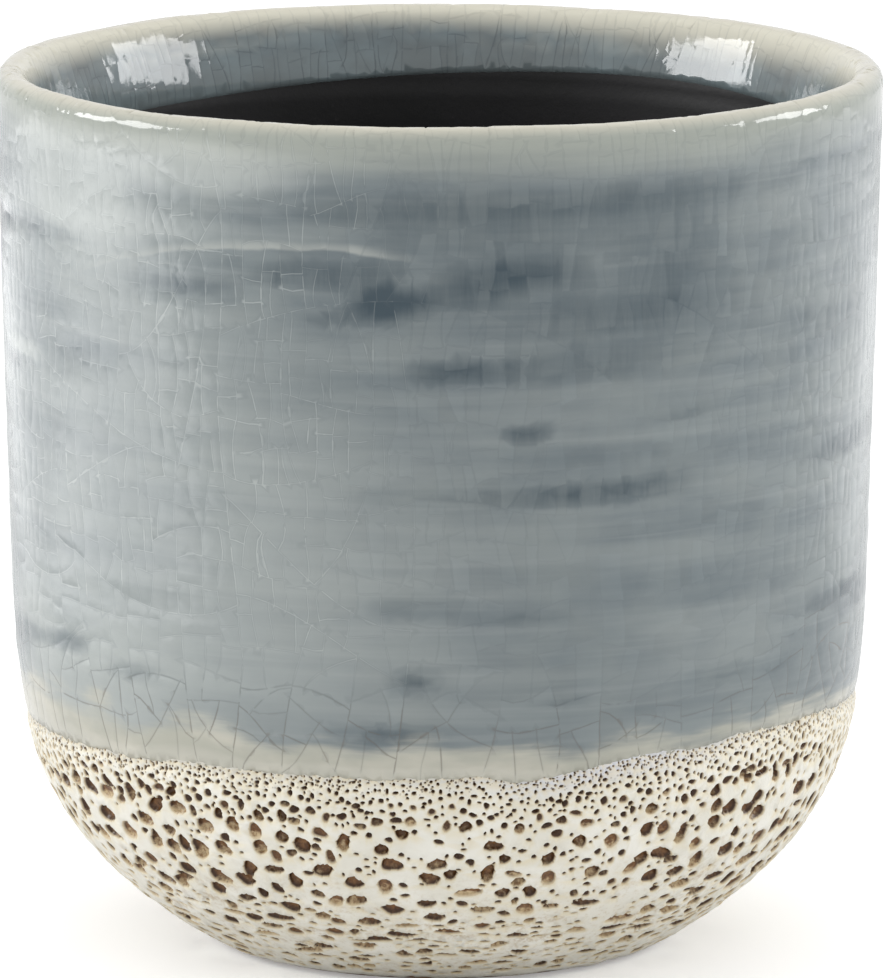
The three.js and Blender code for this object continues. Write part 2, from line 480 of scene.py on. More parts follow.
def inside(points, cell):
    """Which points lie in a cell."""
    across, up = points.T[:, None]
    start = cell[:, :, None]
    end = np.roll(cell, -1, axis=0)[:, :, None]
    spans = (start[:, 1] > up) != (end[:, 1] > up)
    rise = np.where(spans, end[:, 1] - start[:, 1], 1)
    where = start[:, 0] + (up - start[:, 1]) / rise * (end[:, 0] - start[:, 0])
    return (spans & (across < where)).sum(axis=0) % 2 == 1


def cell_points(cell, rng):
    """Points just inside a cell's edge and a few over its middle."""
    run = np.roll(cell, -1, axis=0) - np.roll(cell, 1, axis=0)
    inward = np.column_stack([-run[:, 1], run[:, 0]])
    inward /= np.maximum(np.linalg.norm(run, axis=1), 1e-6)[:, None]
    edge = np.full(cell.shape, np.nan)
    for share in (0.25, 0.5, 1):
        clear = inside(cell + 1.7 * share * CRACK_FLANK * inward, cell)
        edge[clear] = (cell + share * CRACK_FLANK * inward)[clear]
    edge = edge[~np.isnan(edge[:, 0])]
    low, high = cell.min(axis=0) + 0.5, cell.max(axis=0) - 0.5
    counts = np.maximum(((high - low) / (1.7, 1.0)).astype(int), 1)
    grid = np.stack(np.meshgrid(*(np.linspace(a, b, n + 1) for a, b, n in zip(low, high, counts))), axis=-1)
    grid = grid.reshape(-1, 2) + rng.normal(0, 0.12, (grid.size // 2, 2))
    grid = grid[inside(grid, cell)]
    near = np.linalg.norm(grid[:, None] - np.vstack([edge, cell])[None], axis=2).min(axis=1)
    return np.vstack([edge, grid[near > 0.65]])


def streak_pools_and_sheen(angle, height):
    """How much glaze pools in the throwing marks; less than none on thin ridges and on the broad patches of
    painted sheen at the left.
    """
    rng = np.random.default_rng(STREAK_SEED)
    hidden = [(rng.uniform(62, 298), rng.uniform(45, 132), rng.uniform(5, 22), rng.uniform(1, 2.1),
               rng.uniform(0.3, 0.85) * rng.choice([1, 1, 1, -0.5])) for _ in range(HIDDEN_STREAKS)]
    pool_and_sheen = np.zeros(len(angle))
    for degrees, level, half_length, half_height, amount in STREAKS + hidden:
        turn = turned_from(angle, degrees)
        reach = np.abs(turn * RIM_RADIUS / half_length)
        rise = (height - level - 0.02 * turn * RIM_RADIUS) / half_height
        pool_and_sheen += amount * np.exp(-reach ** 3 - np.abs(rise) ** 3)
    return np.clip(pool_and_sheen, -1, 1.3)


def crack_show(angle, height, crest):
    """How far the cracks stand out from place to place."""
    degrees = np.degrees(angle)
    faint = bell(degrees, 26, 19) * smooth(height, 45, 60) * smooth(-height, -137, -126)
    middle = between(degrees, -25, 0, 45, 65) * smooth(height, 45, 60)
    thin = 0.75 * bell(crest, 0, 3.5)
    return (1 - 0.78 * faint) * (1 - 0.3 * middle) * (1 - thin) * (1 - 0.1 * smooth(crest, 0, 3))


def crack_stain(angle, height, crest):
    """From -1, pale cracks, to 1, cracks that have gone brown."""
    low = smooth(-height, -62, -46)
    right = 0.75 * bell(np.degrees(angle), 62, 22)
    around = 0.5 * np.sin(2 * angle + 1.1) * smooth(np.abs(angle), 1.4, 1.9)
    return np.clip(-0.7 + 1.6 * low + 1.4 * right + around + 1.1 * smooth(crest, 1.5, 4), -1, 1)


def lip_pool_and_shade(angle, depth):
    """How far the glaze has run off the rim and pooled dark, at depths below the crest on the inside; the
    dark starts higher at the left back as painted shade and lower at the right back as painted light.
    """
    # Painted shade at the left back and painted light at the right back: the dark starts higher at the left
    # back and lower at the right back
    thin = 4.9 - 1.0 * bell(turned_from(angle, 195), 0, math.radians(32))
    thin += 1.3 * bell(angle, math.radians(125), math.radians(32))
    return smooth(depth, 0.45 * thin, 1.5 * thin)


def lip_ridge(angle, depth):
    """A thin wavy ridge low on the lip, where the glaze has run off."""
    middle = 7.2 + 0.9 * np.sin(3 * angle + 0.6) + 0.5 * np.sin(7 * angle)
    return bell(depth, middle, 0.7) * (0.6 + 0.4 * np.sin(5 * angle + 1))


def settled(lift, places, faces, held):
    """Lifts eased until no face stands steeper than glaze can run; some points are held."""
    one, other = (places[faces[:, corner]] - places[faces[:, 0]] for corner in (1, 2))
    doubled_area = one[:, 0] * other[:, 1] - one[:, 1] * other[:, 0]
    doubled_area = np.where(np.abs(doubled_area) < 1e-9, 1e-9, doubled_area)
    for _ in range(EASING_ROUNDS):
        rise_one, rise_other = (lift[faces[:, corner]] - lift[faces[:, 0]] for corner in (1, 2))
        slope = np.hypot(rise_one * other[:, 1] - rise_other * one[:, 1],
                         rise_other * one[:, 0] - rise_one * other[:, 0]) / np.abs(doubled_area)
        steep = faces[slope > STEEPEST]
        count = np.bincount(steep.ravel(), minlength=len(lift))
        total = np.bincount(steep.ravel(), np.repeat(lift[steep].mean(axis=1), 3), len(lift))
        lift = np.where((count > 0) & ~held, (lift + total / np.maximum(count, 1)) / 2, lift)
    return lift


def crackle_sheet(rng, height):
    """The flat band of crackle glaze as points with their marks, and the edges that cracks keep."""
    seam, cracks, cells = crackle_net(rng, height)
    ends = np.vstack([crack[[0, -1]] for crack in cracks])
    seam_across = np.interp(ends[:, 1], seam[:, 1], seam[:, 0])
    on_seam = np.abs((ends[:, 0] - seam_across + 1) % NET_WIDTH - 1) < 1e-6
    hem = height - HEM_WIDTH
    levels = np.union1d(np.append(seam[:, 1], hem), ends[on_seam, 1])
    seam = np.column_stack([np.interp(levels, seam[:, 1], seam[:, 0]), levels])
    starts = [seam[0], seam[-1], seam[np.searchsorted(levels, hem)]]
    edge_rows = [np.column_stack([np.linspace(start[0], start[0] + NET_WIDTH, EDGE_POINTS),
                                  np.full(EDGE_POINTS, start[1])]) for start in starts]
    runs = [seam, seam + (NET_WIDTH, 0), *edge_rows, *cracks]
    strengths = [SEAM_STRENGTH, SEAM_STRENGTH, 0, 0, 0, *rng.uniform(0.65, 1, len(cracks))]
    points = list(runs)
    marks = [np.tile([strength, strength, 0, 1, 0], (len(run), 1)) for run, strength in zip(runs, strengths)]
    for cell in cells:
        found = cell_points(cell, rng)
        tilt = (found - cell.mean(axis=0)) @ rng.normal(0, CELL_TILT, 2)
        tone = rng.normal(0, 0.45)
        flow = rng.uniform(0.65, 1.3)
        points.append(found)
        marks.append(np.column_stack([np.tile([0, 0, tone, flow], (len(found), 1)), tilt]))
    return np.vstack(points), chained(runs), np.vstack(marks), seam


def poked(places, faces, marks):
    """Gives each broad triangle that has only crack corners a point of plain glaze in its middle."""
    sides = places[np.roll(faces, -1, axis=1)] - places[faces]
    doubled_area = np.abs(sides[:, 0, 0] * sides[:, 1, 1] - sides[:, 0, 1] * sides[:, 1, 0])
    broad = doubled_area > NARROWEST * np.linalg.norm(sides, axis=2).max(axis=1)
    full = (marks[faces, 0] > 0).all(axis=1) & broad
    middles = len(places) + np.arange(full.sum())
    fans = [np.column_stack([faces[full][:, pair], middles]) for pair in ([0, 1], [1, 2], [2, 0])]
    places = np.vstack([places, places[faces[full]].mean(axis=1)])
    marks = np.vstack([marks, marks[faces[full]].mean(axis=1) * (0, 1, 1, 1, 1)])
    return places, np.vstack([faces[~full], *fans]).tolist(), marks


def crackle_mesh():
    """The crackle glaze from the glaze line up over the rim and down the lip."""
    height = LIP_ALONG - along_at(MEAN_LINE)
    flat, edges, marks, seam = crackle_sheet(np.random.default_rng(NET_SEED), height)
    places, faces, sources = triangulate(flat, edges, NET_SNAP)

    def past_seam(points):
        return points[:, 0] - np.interp(points[:, 1], seam[:, 1], seam[:, 0])

    def lay_out(points):
        angle = (points[:, 0] - NET_WIDTH / 2) / RIM_RADIUS
        share = points[:, 1] / height
        line = glaze_line(angle)
        from_top = (np.degrees(angle) - HEM_TOP_AT + 180) % 360 - 180
        end = LIP_ALONG + HEM_LOWEST - HEM_RISE * bell(from_top, 0, HEM_TOP_WIDTH) + 0.25 * np.sin(5 * angle)
        return angle, line + share * (end - line) + ragged(angle) * (1 - smooth(points[:, 1], 0, 1.6))

    faces = np.array(faces)
    in_band = past_seam(places[faces].mean(axis=1))
    faces = faces[(in_band > 0) & (in_band < NET_WIDTH)]
    marks = np.where((sources >= 0)[:, None], marks[sources], CROSSING_MARKS)
    places, faces, marks = poked(places, faces, marks)
    crack, groove, tone, flow, tilt = marks.T
    angle, along = lay_out(places)
    degrees = np.degrees(angle)
    rise = places[:, 1]
    level = SKIN.at(along)[1]
    crest = along - CREST_ALONG
    outside = smooth(CREST_ALONG - along, 2, 8)
    pool_and_sheen = streak_pools_and_sheen(angle, level) * outside
    ground = on_pot(angle, along, 0)

    # The relief of the wall, the cells and the crest, eased where it is too steep, and the two edges
    bands = lumps(ground * (0.12, 0.12, 1), 5, 3)
    relief = 0.12 + 0.88 * smooth(-crest, 2, 12) + 0.35 * smooth(crest, 3, 7)
    relief *= 1 - smooth(rise, height - 4, height - 1.5)
    lift = 0.07 * bands * outside + 0.08 * lumps(ground, 45, 4) * outside - 0.12 * pool_and_sheen
    lift += relief * (tilt - CRACK_DEPTH * groove)
    lift -= 0.14 * (1 + lumps(ground, 26, 14)) * bell(crest, 0, 5)
    from_seam = past_seam(places)
    on_seam = np.minimum(np.abs(from_seam), np.abs(from_seam - NET_WIDTH)) < 0.01
    lift = settled(lift, places, np.array(faces), on_seam)
    lift -= 0.2 * (1 - smooth(rise, 0, 0.9))
    lift += 0.12 * smooth(rise, height - 6, height - 1) - HEM_DIP * smooth(rise, height - HEM_WIDTH, height)

    right = between(degrees, 8, 40, 100, 150)
    left = between(-degrees, 25, 55, 95, 130)
    thin_edge = (4.7 + 1.8 * lumps(ground, 16, 12)) * (1 - 0.3 * right + 0.5 * left)
    return coat("crackle_glaze", (places, faces, height), lay_out, lift, {
        "crack": crack * crack_show(angle, level, crest),
        "stain": crack_stain(angle, level, crest),
        "tone": tone,
        "pool_and_sheen": np.where(pool_and_sheen > 0, pool_and_sheen * flow, pool_and_sheen),
        "thin": (1 - smooth(rise, 0.2 * thin_edge, 1.7 * thin_edge)) * (1 - 0.35 * right),
        "crest": crest,
        "lip_pool_and_shade": lip_pool_and_shade(angle, crest),
        "lip_ridge": lip_ridge(angle, crest),
    })


class CraterPlane:
    """The belly laid out flat so that circles stay round: across is the angle, up is along the skin."""

    def __init__(self):
        self.along = np.linspace(along_at(CRATER_FOOT), along_at(CRATER_TOP), 500)
        radius = SKIN.at(self.along)[0]
        steps = np.diff(self.along) / ((radius[1:] + radius[:-1]) / 2)
        self.up = np.concatenate([[0], np.cumsum(steps)]) * CRATER_PLANE
        self.scale = radius / CRATER_PLANE
        self.width = 2 * math.pi * CRATER_PLANE
        self.height = self.up[-1]

    def angle_at(self, across):
        return across / CRATER_PLANE - math.pi

    def along_at(self, up):
        return np.interp(up, self.up, self.along)

    def scale_at(self, up):
        return np.interp(up, self.up, self.scale)

    def lay_out(self, places):
        return self.angle_at(places[:, 0]), self.along_at(places[:, 1])


def crater_places(plane, rng):
    """Craters that keep clear of each other: fine at the glaze line, coarse below it, wide near the foot."""
    loose_up = plane.height * rng.uniform(0, 1, CRATER_ATTEMPTS)
    evenly = (plane.scale_at(loose_up) / plane.scale.max()) ** 2
    loose_up = loose_up[rng.uniform(0, 1, CRATER_ATTEMPTS) < evenly]
    near_line = 8.3 * rng.uniform(0, 1, CRATER_ATTEMPTS) ** 1.4 - 0.3
    across = rng.uniform(0, plane.width, len(loose_up) + len(near_line))
    line_up = np.interp(glaze_line(plane.angle_at(across[len(loose_up):])) - near_line, plane.along, plane.up)
    up = np.concatenate([loose_up, line_up])
    scale = plane.scale_at(up)
    angle = plane.angle_at(across)
    along = plane.along_at(up)
    below = glaze_line(angle) - along
    crowded = 0.5 - 0.5 * np.sin(angle + 0.3) + 0.9 * bell(np.degrees(angle), 60, 26)
    bare = lumps(on_pot(angle, along, 0), 12, 17) + 0.2 * rng.normal(0, 1, len(up))
    left = between(-np.degrees(angle), 22, 52, 56, 80)
    smallest = read_off(below, SMALLEST_RADII)
    largest = read_off(below * (1 + 0.65 * left), LARGEST_RADII)
    spare = np.maximum(largest * (0.74 + 0.36 * crowded) - smallest, 0)
    size = smallest + spare * rng.uniform(0, 1, len(up)) ** (3.1 - 1.5 * crowded - 0.3 * left)
    apart = 0.22 + 0.24 * (1 - smooth(below, 3, 9)) * (1 - 0.5 * crowded)
    stretch = 0.5 * smooth(below, 20, 32)
    spread = np.exp(rng.normal(0.04, 0.14, len(up)) + stretch * rng.uniform(0, 1, len(up)))
    wide, tall = size * spread, size / spread
    fits = (below > -0.25) & (along - plane.along[0] > FOOT_STRIP + tall)
    fits &= bare > -0.65 - 0.8 * crowded - 2 * (1 - smooth(below, 2.5, 5))
    touching = rng.uniform(0, 1, len(up)) < 0.14
    held = {}
    craters = []
    for index in np.flatnonzero(fits)[np.argsort(-size[fits] * rng.uniform(0.4, 1, fits.sum()))]:
        box = (int(across[index] // SEARCH_BOX), int(up[index] // SEARCH_BOX))
        near = [other for step in range(-1, 2) for rise in range(-1, 2)
                for other in held.get((box[0] + step, box[1] + rise), ())]
        if near:
            wall = 0.1 + apart[index] * np.minimum(size[near], size[index])
            if touching[index]:
                wall = -0.35 * size[index]
            gap = np.hypot((across[near] - across[index]) * scale[index] / (wide[near] + wide[index] + wall),
                           (up[near] - up[index]) * scale[index] / (tall[near] + tall[index] + wall))
            if (gap < 1).any():
                continue
        held.setdefault(box, []).append(index)
        craters.append(index)
    return np.column_stack([across, up, wide / scale, tall / scale, size])[craters]


class Craters:
    """The craters, and the ways in which each differs: the lobes of its edge, its depth, and the painted
    light and painted shade on its floor.
    """

    def __init__(self, plane, rng):
        self.places = crater_places(plane, rng)
        count = len(self.places)
        size = self.places[:, 4]
        self.lobes = rng.uniform(0, 1, (count, 3)) * CRATER_LOBES
        self.phases = rng.uniform(0, 2 * math.pi, (count, 3))
        self.floor_edge = np.clip(1 - 0.55 / size, 0.3, 0.62)
        self.deepest = np.minimum(CRATER_DEPTH, 0.4 + 0.75 * size)
        self.deepest *= np.where((size > 0.6) & (rng.uniform(0, 1, count) < 0.2), 0.5, 1)
        # How much painted light falls on the lower side of each crater's floor
        self.painted_light_share = 0.15 + 0.85 * rng.uniform(0, 1, count) ** 1.5
        # Where a dark spot of painted shade stands for a deeper hole in the floor
        self.painted_hole = rng.uniform(-0.45, 0.45, (count, 2))

    def reach(self, index, turn):
        """A crater's radius at a turn round it, as a share of its mean."""
        lobes = zip(self.lobes[index], self.phases[index])
        return 1 + sum(lobe * np.cos((k + 2) * turn + phase) for k, (lobe, phase) in enumerate(lobes))

    def rings(self):
        """Flat points in rings round the middle of each crater, more of them where it is large."""
        found = []
        for index, (across, up, wide, tall, size) in enumerate(self.places):
            inner = self.floor_edge[index]
            count = int(8 + 2.5 * size + min(wide / tall - 1, 2) * 1.6)
            shares = [(inner * 0.5, count // 3), (inner, count - 3), (1.0, count + 3), (1.2, count - 2)]
            if size > 1:
                shares.append(((1 + inner) / 2, count + 3))
            if size < 0.6:
                shares = [(inner, 4), (1.0, 8)]
            if size < 0.3:
                shares = [(1.0, 5)]
            found.append([[across, up]])
            for share, corners in shares:
                turn = (np.arange(corners) + share) / corners * 2 * math.pi
                away = share * self.reach(index, turn)
                ring = np.column_stack([across + wide * away * np.cos(turn), up + tall * away * np.sin(turn)])
                found.append(ring)
        return np.vstack(found)

    def pressed(self, places, width):
        """The depth, lip, rise of the lip, painted light on the lower side of the floor, and where the floor
        stays clear of painted wall shade, of the craters at flat places.
        """
        order = places[:, 0].argsort()
        sorted_across = places[order, 0]
        marks = np.zeros((5, len(places)))
        for index, (across, up, wide, tall, size) in enumerate(self.places):
            for middle in (across - width, across, across + width):
                first, last = np.searchsorted(sorted_across, (middle - 2 * wide, middle + 2 * wide))
                if first == last:
                    continue
                near = order[first:last]
                offset = (places[near] - (middle, up)) / (wide, tall)
                share = np.hypot(*offset.T) / self.reach(index, np.arctan2(offset[:, 1], offset[:, 0]))
                fall = 1 - smooth(share, self.floor_edge[index], 1.03)
                lip = np.clip((1.5 - share) / 0.5, 0, 1) * (share > 0.9)
                # Painted light: the lower side of each wider crater turns pale tan, as if lit from above,
                # with a dark spot of painted shade where a deeper hole would be
                pale = smooth(0.55 - offset[:, 1] - 0.4 * share, 0, 0.9) * (share < 1.05)
                pale *= smooth(size, 0.4, 1.1)
                in_painted_hole = np.exp(-((offset - self.painted_hole[index]) ** 2).sum(axis=1) / 0.09)
                marks[:, near] = np.maximum(marks[:, near], [
                    self.deepest[index] * fall,
                    lip * (0.55 - 0.45 * offset[:, 1]),
                    (0.03 + 0.05 * size) * lip,
                    pale * (self.painted_light_share[index] * (1 - 0.9 * in_painted_hole)),
                    # Painted shade: 0 on the walls of wide craters and in small ones, which then take the
                    # darkest brown; 1 on the deep floors of wide craters
                    smooth(fall, 0.7, 0.97) * smooth(size, 0.7, 1.5),
                ])
        return marks


def crater_mesh():
    """The white coat with its craters, from under the edge of the crackle glaze to the foot."""
    rng = np.random.default_rng(CRATER_SEED)
    plane = CraterPlane()
    craters = Craters(plane, rng)
    columns, levels = np.meshgrid(np.linspace(1, plane.width - 1, GRID_COLUMNS),
                                  np.linspace(0.9, plane.height - 0.9, GRID_ROWS))
    grid = np.column_stack([columns.ravel(), levels.ravel()])
    grid += rng.normal(0, 0.25, grid.shape)
    loose = np.vstack([craters.rings(), grid])
    loose[:, 0] %= plane.width
    margin = (loose[:, 0] > 0.2) & (loose[:, 0] < plane.width - 0.2)
    loose = loose[margin & (loose[:, 1] > 0.3) & (loose[:, 1] < plane.height - 0.3)]
    seam = np.column_stack([np.zeros(SIDE_POINTS), np.linspace(0, plane.height, SIDE_POINTS)])
    low_row = np.column_stack([np.linspace(0, plane.width, ROW_POINTS), np.zeros(ROW_POINTS)])
    runs = [seam, seam + (plane.width, 0), low_row, low_row + (0, plane.height)]
    places, faces, _ = triangulate(np.vstack([*runs, loose]), chained(runs))

    depth, lip_mark, lip_rise, floor, clear_of_wall_shade = craters.pressed(places, plane.width)
    angle, along = plane.lay_out(places)
    below = glaze_line(angle) - along
    ground = on_pot(angle, along, 0)
    folds = lumps(np.column_stack([ground[:, :2] * 0.25, along * MM]), 2.6, 9)
    rough = 0.09 * lumps(ground, 7, 5) + 0.06 * lumps(ground, 2.6, 6) * smooth(below, 2, 10)
    rough += 0.14 * folds * smooth(below, 15, 28) * smooth(places[:, 1], 1, 5)
    rough += 0.13 * lumps(ground, 1.5, 8) * smooth(depth, 0.6, 0.9)
    lift = CRATER_LIFT - 0.5 * smooth(-below, -2.5, 0.3) - 0.35 * smooth(-below, 0.3, 1.5)
    lift += rough - depth + lip_rise * (depth < 0.05)
    lift -= 0.45 * (1 - smooth(places[:, 1], 0, 1.2))
    lift = np.maximum(lift, 0.1 - CRACKLE_COAT)
    return coat("crater_glaze", (places, faces, plane.height), plane.lay_out, lift, {
        "pit": depth / CRATER_DEPTH,
        "lip": lip_mark,
        # The floor mark is painted light on the lower side of wide craters; the mark after it keeps their
        # deep floors clear of painted shade
        "floor": floor,
        "clear_of_wall_shade": clear_of_wall_shade,
        "below": below,
        "haze": bell(np.degrees(angle), 22, 16) * (1 - smooth(below, 0.8, 4)),
        "fold": smooth(-folds, 0.2, 1.0) * smooth(below, 13, 26),
    })


def combined(operation, swapped=False):
    """A method that joins a wire with a number or another wire by a Math node."""
    def method(self, other):
        return self.maths(operation, other, self) if swapped else self.maths(operation, self, other)
    return method


class Wire:
    """An output of a node. Sums and products of wires add Math nodes; node() adds any other node."""

    __add__ = combined("ADD")
    __radd__ = combined("ADD", True)
    __sub__ = combined("SUBTRACT")
    __rsub__ = combined("SUBTRACT", True)
    __mul__ = combined("MULTIPLY")
    __rmul__ = combined("MULTIPLY", True)
    __truediv__ = combined("DIVIDE")
    __mod__ = combined("FLOORED_MODULO")

    def __init__(self, tree, socket=None):
        self.tree = tree
        self.socket = socket

    def node(self, kind, settings=None, sockets=None, output=0):
        made = self.tree.nodes.new(kind)
        for name, value in (settings or {}).items():
            setattr(made, name, value)
        for name, value in (sockets or {}).items():
            if isinstance(value, Wire):
                self.tree.links.new(value.socket, made.inputs[name])
            else:
                made.inputs[name].default_value = value
        return Wire(self.tree, made.outputs[output] if made.outputs else None)

    def maths(self, operation, one, other):
        return self.node("ShaderNodeMath", {"operation": operation}, {0: one, 1: other})

    def also(self, name):
        """Another output of the same node."""
        return Wire(self.tree, self.socket.node.outputs[name])


def colour(shade):
    """A colour as a picture shows it, 0 to 255, made linear for a shader; a wire stays as it is."""
    if isinstance(shade, Wire):
        return shade
    shares = [value / 255 for value in shade]
    return (*[share / 12.92 if share < 0.04045 else ((share + 0.055) / 1.055) ** 2.4 for share in shares], 1)


def finish(name):
    """An empty material and the wire that starts its nodes."""
    material = bpy.data.materials.new(name)
    material.use_nodes = True
    material.node_tree.nodes.clear()
    return material, Wire(material.node_tree)


def read_marks(start, *names):
    return [start.node("ShaderNodeAttribute", {"attribute_name": name}, output="Fac") for name in names]


def stretched(start, across, up):
    """Object coordinates in millimetres, scaled across and up the pot."""
    place = start.node("ShaderNodeTexCoord", output="Object")
    return start.node("ShaderNodeMapping", sockets={
        "Vector": place, "Scale": (across / MM, across / MM, up / MM)})


def noise(start, across, up, detail=3.0, roughness=0.5):
    """Noise with about so many lumps to a millimetre across and up the pot."""
    return start.node("ShaderNodeTexNoise", sockets={
        "Vector": stretched(start, across, up), "Scale": 1.0, "Detail": detail, "Roughness": roughness})


def step(value, low, high):
    """0 below low and 1 above high, with a soft step between them."""
    return value.node("ShaderNodeMapRange", {"interpolation_type": "SMOOTHSTEP"}, {
        "Value": value, "From Min": low, "From Max": high})


def mix(share, one, other):
    return share.node("ShaderNodeMix", {"data_type": "RGBA"}, {0: share, 6: colour(one), 7: colour(other)}, 2)


def layered(ground, *layers):
    """A ground colour with layers over it, each given as the share that it covers and its colour."""
    for share, shade in layers:
        ground = mix(share, ground, shade)
    return ground


def bump(height, strength, distance):
    return height.node("ShaderNodeBump", sockets={
        "Height": height, "Strength": strength, "Distance": distance * MM})


def surface(start, **sockets):
    """Ends a material in one glazed or matt surface."""
    names = {name.replace("_", " "): value for name, value in sockets.items()}
    shader = start.node("ShaderNodeBsdfPrincipled", sockets=names)
    start.node("ShaderNodeOutputMaterial", sockets={"Surface": shader})


def bare_ridge(start, waver):
    """A thin arched ridge across the upper left of the front, where little glaze stays."""
    place = start.node("ShaderNodeTexCoord", output="Object")
    across = start.node("ShaderNodeSeparateXYZ", sockets={0: place})
    turn = start.maths("ARCTAN2", across, 0 - across.also("Y"))
    away = turn - RIDGE_TURN
    above = across.also("Z") / MM - RIDGE_TOP + RIDGE_BEND * away * away + waver
    starts = step(turn, RIDGE_TURN - 0.75, RIDGE_TURN)
    ends = step(turn, RIDGE_TURN + 0.15, RIDGE_TURN + 0.32)
    return step(above, -0.5, 0.05) * (1 - step(above, 0.0, 1.5)) * (starts * (1 - ends))


def crackle_finish():
    material, start = finish("crackle_glaze")
    crack, stain, tone, pool_and_sheen, thin, crest, lip_dark, ridge = read_marks(
        start, "crack", "stain", "tone", "pool_and_sheen", "thin", "crest", "lip_pool_and_shade", "lip_ridge")
    bands = noise(start, 0.025, 0.26)
    strokes = noise(start, 1.6, 0.12, roughness=0.6)
    clouds = noise(start, 0.09, 0.16)
    wisps = noise(start, 0.06, 0.55)
    rings = noise(start, 0.02, 0.6, detail=2.0)
    pale_cells = step(tone, -1.2, 1.2)

    pooled = pool_and_sheen + (strokes - 0.5) * 0.3 * step(pool_and_sheen, 0.05, 0.5)
    ridge_show = bare_ridge(start, (clouds - 0.5) * 2.0) * (0.3 + 0.2 * step(tone, -0.8, 0.8))
    wall = layered(
        mix(step(bands, 0.3, 0.7), (101, 111, 115), (122, 130, 131)),
        (step(rings, 0.55, 0.72) * 0.3, (140, 146, 146)),
        ((1 - step(rings, 0.3, 0.45)) * 0.16, (76, 90, 97)),
        (step(clouds, 0.35, 0.75) * 0.35, (131, 138, 136)),
        (pale_cells * 0.16, (146, 157, 160)),
        (step(pooled, -0.35, 1.15) * step(pool_and_sheen, 0.0, 0.25), (48, 66, 76)),
        # Pale on ridges where the glaze is thin, and on the broad patches at the left, where the pale colour
        # is painted sheen
        (step(0 - pool_and_sheen, 0.02, 0.6) * 0.7, (176, 181, 178)),
        (ridge_show, (190, 192, 185)),
    )

    # The glaze runs thin over the rim and at its lower edge, where the pale ground shows
    outer = step(crest + (bands - 0.5) * 4, -11, -3)
    edge = mix(step(0 - pool_and_sheen, 0.02, 0.5), (166, 170, 160), (194, 197, 188))
    deep = layered(
        mix(step(clouds, 0.35, 0.75), (88, 96, 99), (106, 121, 127)),
        (pale_cells * 0.3, (132, 146, 150)),
        # Lighter low on the lip, which offsets the shade that falls in there: painted light
        (step(crest, 6.0, 10.5) * 0.3, (136, 145, 145)),
        (ridge * 0.4, (170, 174, 168)),
    )
    bare_crest = step(crest, -3.8, -0.4) * (1 - step(crest, 0.4, 2.0))
    cream = mix(step(clouds, 0.35, 0.7), (174, 173, 160), (194, 191, 177))
    patchy = (wisps - 0.5) * 2.6 * step(thin, 0.02, 0.3) * (1 - thin)

    # Cracks are pale on the wall, brown near the glaze line and dark inside the lip
    inward = step(crest, 1.5, 4.0)
    line_colour = layered(
        mix(step(stain, -0.6, 0.5), (218, 223, 220), (84, 90, 90)),
        (step(stain, 0.35, 0.9), (98, 88, 76)),
        (inward, (66, 74, 78)),
    )
    shown = 0.1 + 0.14 * step(clouds, 0.35, 0.7) + 0.26 * step(stain, -0.2, 0.6) + 0.02 * inward
    glaze = layered(
        wall,
        (outer * 0.82, edge),
        (step(crest, 0.0, 0.8), mix(lip_dark, (216, 213, 197), deep)),
        (bare_crest * 0.95, (205, 201, 185)),
        (step(thin + patchy, 0.05, 0.9) * 0.92, cream),
        (step(thin, 0.9, 1.0) * 0.3, (204, 201, 190)),
        (step(crack, 0.06, 0.3) * 0.1, (70, 82, 88)),
        (step(crack, 0.42, 0.8) * shown, line_colour),
    )
    gloss = 0.05 + 0.05 * step(clouds, 0.3, 0.7) + 0.13 * (1 - step(crest, -14, -3))
    surface(start, Base_Color=glaze, Roughness=gloss, IOR=1.5,
            Normal=bump(noise(start, 0.5, 0.9), 0.25, 0.06))
    return material


def crater_finish():
    material, start = finish("crater_glaze")
    pit, lip_mark, floor, clear_of_wall_shade, below, haze, fold = read_marks(
        start, "pit", "lip", "floor", "clear_of_wall_shade", "below", "haze", "fold")
    clouds = noise(start, 0.12, 0.12)
    blotches = noise(start, 0.95, 0.95, detail=2.0)
    grain = noise(start, 1.3, 1.3, 4.0, 0.65)
    dots = start.node("ShaderNodeTexVoronoi", sockets={"Vector": stretched(start, 1.0, 1.0), "Scale": 1.45})

    white = layered(
        mix(step(clouds, 0.35, 0.7), (226, 223, 211), (236, 234, 225)),
        (1 - step(below, -0.2, 1.8), (206, 203, 193)),
        (haze, (207, 209, 215)),
        (step(grain, 0.5, 0.72) * step(below, 12, 32) * 0.6, (200, 187, 160)),
        (fold * step(grain, 0.35, 0.65) * 0.8, (176, 153, 117)),
        (step(lip_mark, 0.1, 1.0) * 0.5, (224, 209, 170)),
        (step(pit, 0.01, 0.14) * 0.7, (206, 182, 138)),
    )
    # In the craters, the darkest brown is the brown under glaze and also painted shade on the walls of wide
    # craters, and the tan on their lower side is painted light
    brown = mix(step(grain, 0.3, 0.7), (84, 53, 28), (132, 92, 53))
    tan = mix(step(grain, 0.35, 0.65), (138, 108, 73), (200, 178, 140))
    bare = mix(step(floor + (blotches - 0.5) * 1.3, 0.25, 0.8), mix(clear_of_wall_shade, (66, 41, 21), brown), tan)
    fine = (1 - step(dots, 0.2, 0.34)) * (1 - step(below, 1.0, 3.0)) * step(below, 0.0, 0.2)
    glaze = layered(white, (step(pit, 0.08, 0.4), bare), (fine * 0.85, (78, 56, 36)))
    surface(start, Base_Color=glaze, Roughness=0.36 - 0.12 * step(pit, 0.1, 0.4), Specular_IOR_Level=0.34,
            Normal=bump(grain, 0.5, 0.14))
    return material


